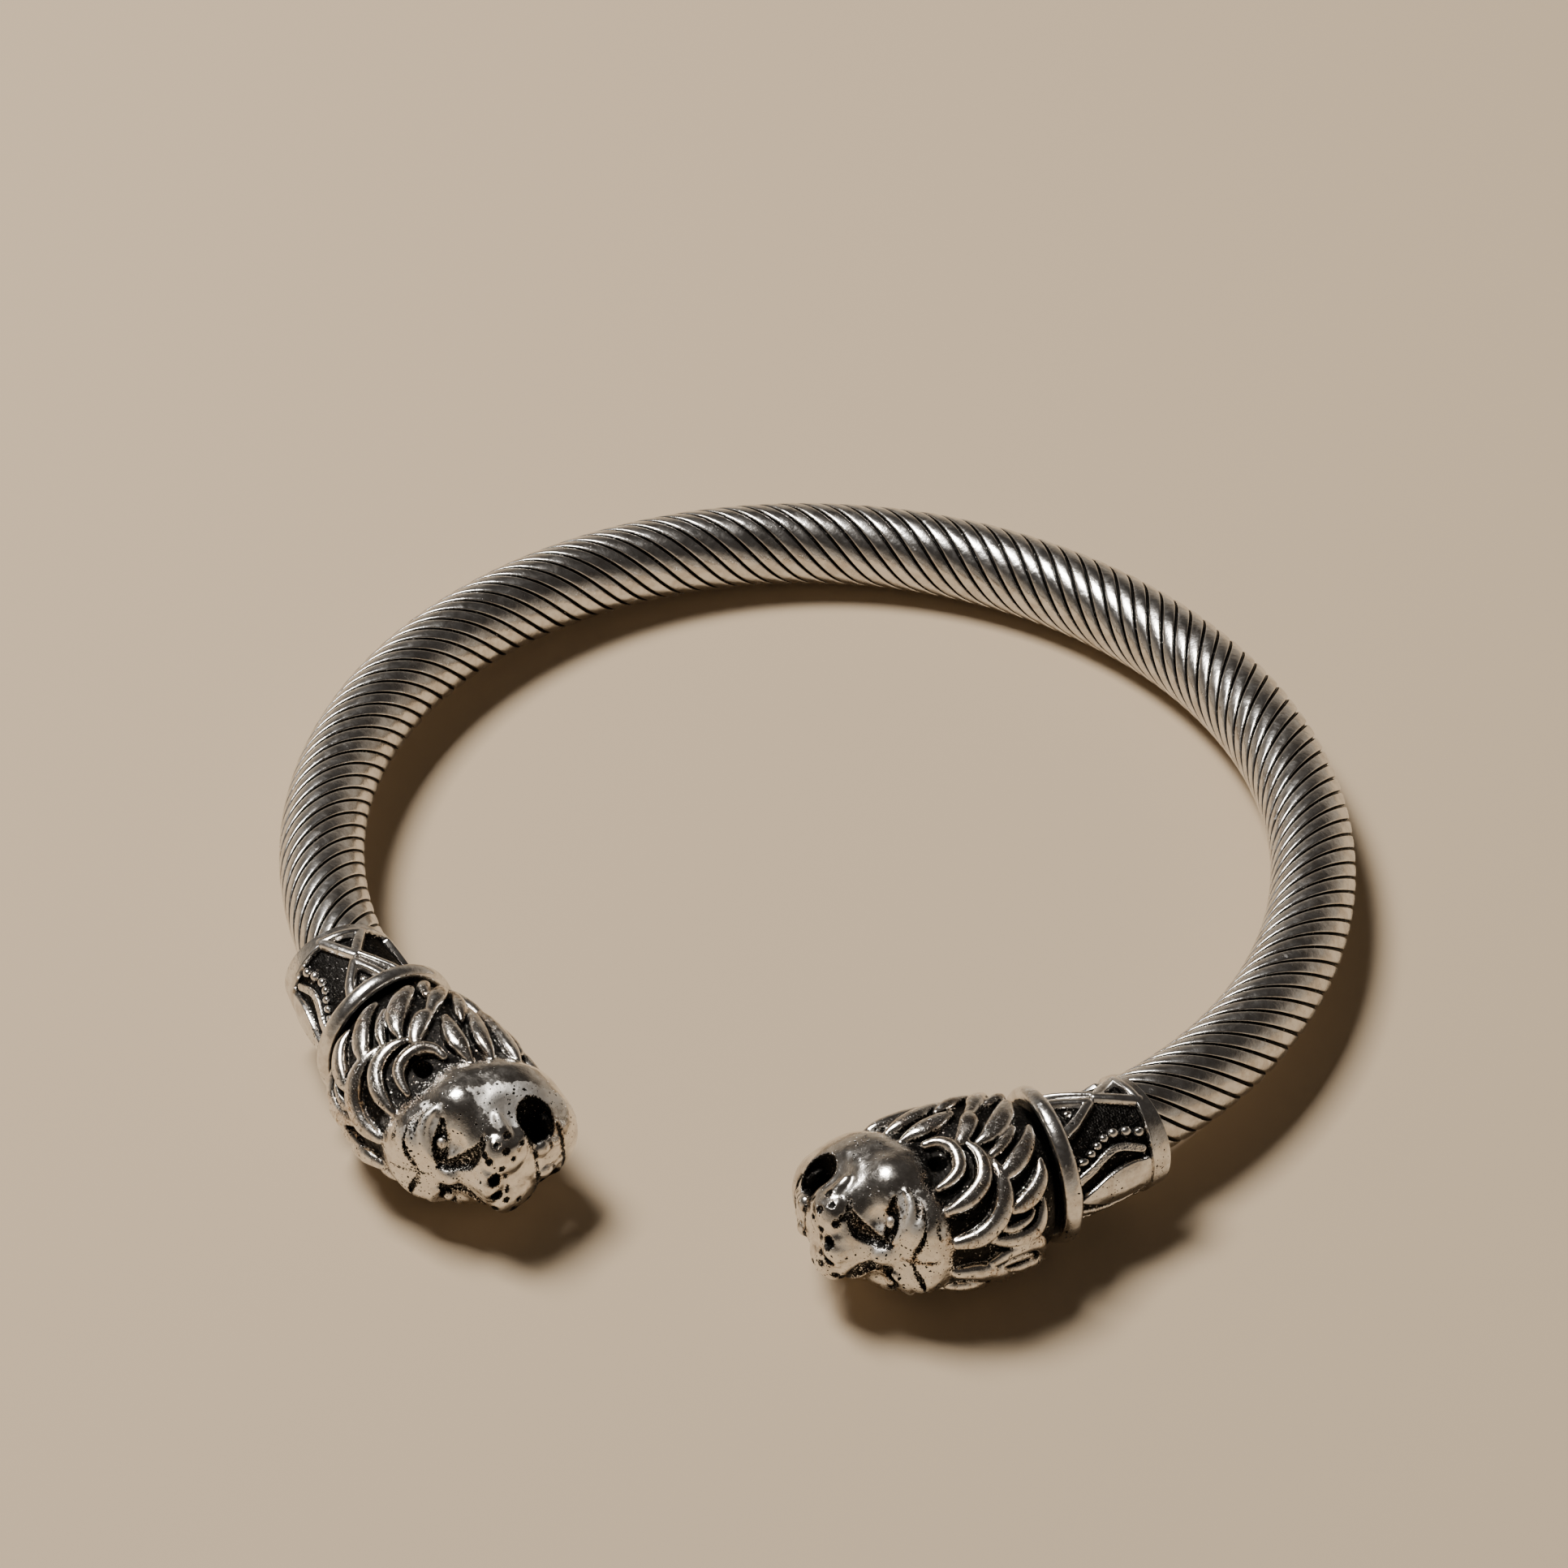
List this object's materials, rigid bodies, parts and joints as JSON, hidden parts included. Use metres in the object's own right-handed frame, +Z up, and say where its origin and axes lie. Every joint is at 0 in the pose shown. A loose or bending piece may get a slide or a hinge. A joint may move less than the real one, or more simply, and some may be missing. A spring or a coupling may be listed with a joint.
{
  "type": "kada bangle",
  "caption": "Open kada bangle: a round rod with spiral grooves whose ends sit in ornamented collars, with cast lion heads facing each other across the gap.",
  "frame": {"origin": "on the surface that the bangle rests on, at the middle of the ring", "axes": "+Z up through the ring, +Y away from the gap between the heads, +X to the side of the right head"},
  "size_m": [0.0754, 0.0777, 0.0123],
  "materials": {
    "silver": "burnished silver-plated casting with black oxidised grooves",
    "dark_silver": "oxidised silver-plated casting, polished on the raised straps and rims"
  },
  "bodies": {
    "root": {"rod": "silver", "collar_left": "dark_silver", "collar_right": "dark_silver", "lion_head_left": "silver", "lion_head_right": "silver"}
  },
  "joints": []
}
